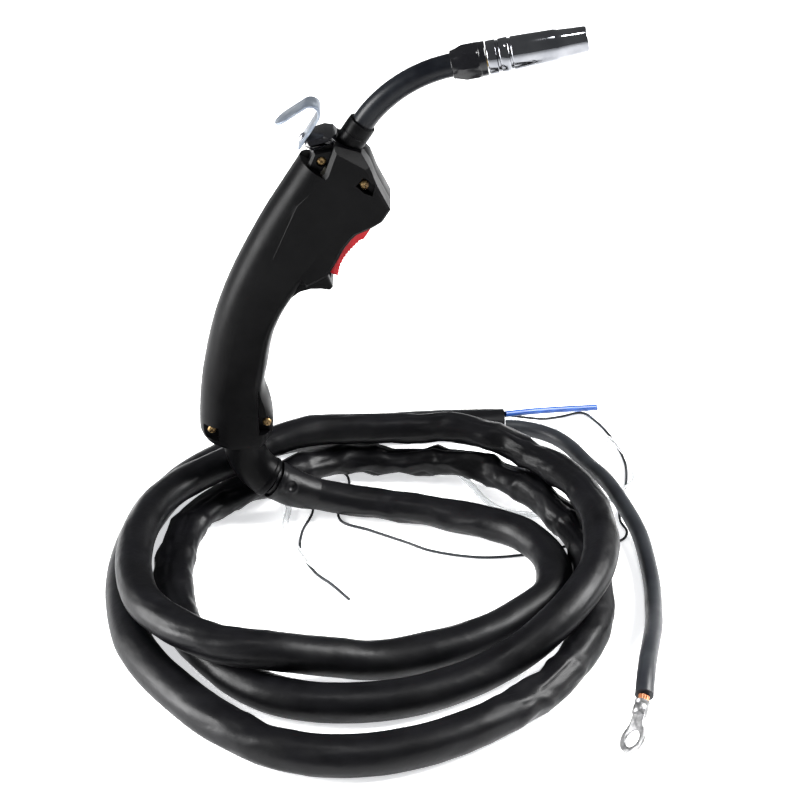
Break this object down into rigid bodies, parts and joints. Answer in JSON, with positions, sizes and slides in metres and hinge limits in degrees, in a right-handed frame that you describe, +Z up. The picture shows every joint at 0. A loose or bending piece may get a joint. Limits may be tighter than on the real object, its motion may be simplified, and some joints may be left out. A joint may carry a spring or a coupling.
{
  "type": "mig welding torch",
  "caption": "Hand-held MIG welding torch: bent neck with a gas nozzle, curved grip with a trigger and hanging hook, swivel foot, and a loose cable with its bare leads and ring lug.",
  "frame": {"origin": "centre of the bounding box of the torch itself, without its loose cable and leads; the floor that the cable lies on is 177.1 mm below it", "axes": "+Z up along the torch's height, +X towards the nozzle, +Y across the grip, away from the screw heads"},
  "size_m": [0.3391, 0.3834, 0.3338],
  "materials": {
    "casing_black": "fine-grained black moulded plastic",
    "gloss_black": "glossy black moulded plastic",
    "jacket_rubber": "soft black cover, satin",
    "trigger_red": "red moulded plastic, satin",
    "nozzle_chrome": "polished plating",
    "hook_zinc": "zinc-plated strip",
    "brass_parts": "turned brass",
    "copper_parts": "turned copper",
    "plain_steel": "plain or tinned steel",
    "liner_blue": "smooth blue plastic",
    "tube_clear": "clear flexible plastic",
    "nylon_parts": "natural nylon"
  },
  "bodies": {
    "cable": {"knuckle": "casing_black", "jacket_cuff": "jacket_rubber", "cable_jacket": "jacket_rubber", "power_lead": "jacket_rubber", "lead_strands": "copper_parts", "ring_lug": "plain_steel", "wire_liner": "liner_blue", "liner_end": "plain_steel", "gas_tube": "tube_clear", "switch_lead": "jacket_rubber"},
    "handle": {"casing_left": "casing_black", "casing_right": "casing_black", "casing_screw_upper_back": "brass_parts", "casing_screw_upper_front": "brass_parts", "casing_screw_lower_back": "brass_parts", "casing_screw_lower_front": "brass_parts", "trigger_pin": "plain_steel", "switch_body": "casing_black", "switch_terminal_upper": "brass_parts", "switch_terminal_lower": "brass_parts", "handle_wire_upper": "jacket_rubber", "handle_wire_lower": "jacket_rubber", "handle_power_core": "jacket_rubber", "crimp_ferrule": "copper_parts", "neck_nut": "brass_parts", "neck_tube": "brass_parts", "neck_liner": "plain_steel", "neck_sleeve": "casing_black", "neck_collar": "casing_black", "neck_clamp_block": "nylon_parts", "nozzle_holder": "gloss_black", "gas_diffuser": "brass_parts", "nozzle_spring": "plain_steel", "contact_tip": "copper_parts", "rear_cap": "casing_black", "hook": "hook_zinc", "hook_screw": "plain_steel", "swivel_bush": "nylon_parts"},
    "trigger": {"trigger": "trigger_red"},
    "plunger": {"switch_plunger": "trigger_red"},
    "nozzle": {"gas_nozzle": "nozzle_chrome"}
  },
  "joints": [
    {"name": "handle_swivel", "type": "hinge", "parent": "cable", "child": "handle", "pos_m": [-0.0894, 0, -0.1051], "axis": [0, 0, 1], "range_deg": [-90, 90]},
    {"name": "trigger_pull", "type": "hinge", "parent": "handle", "child": "trigger", "pos_m": [-0.0127, 0, 0.041], "axis": [0, 1, 0], "range_deg": [0, 5], "stiffness_Nm_per_rad": 0.3, "springref_deg": -11.46},
    {"name": "switch_press", "type": "slide", "parent": "handle", "child": "plunger", "axis": [-0.8944, 0, 0.4472], "range_m": [0, 0.0024]},
    {"name": "nozzle_pull", "type": "slide", "parent": "handle", "child": "nozzle", "axis": [0.9796, 0, 0.2011], "range_m": [0, 0.06]}
  ],
  "couplings": [
    {"joint": "switch_press", "follows": "trigger_pull", "m_per_rad": 0.0265}
  ]
}
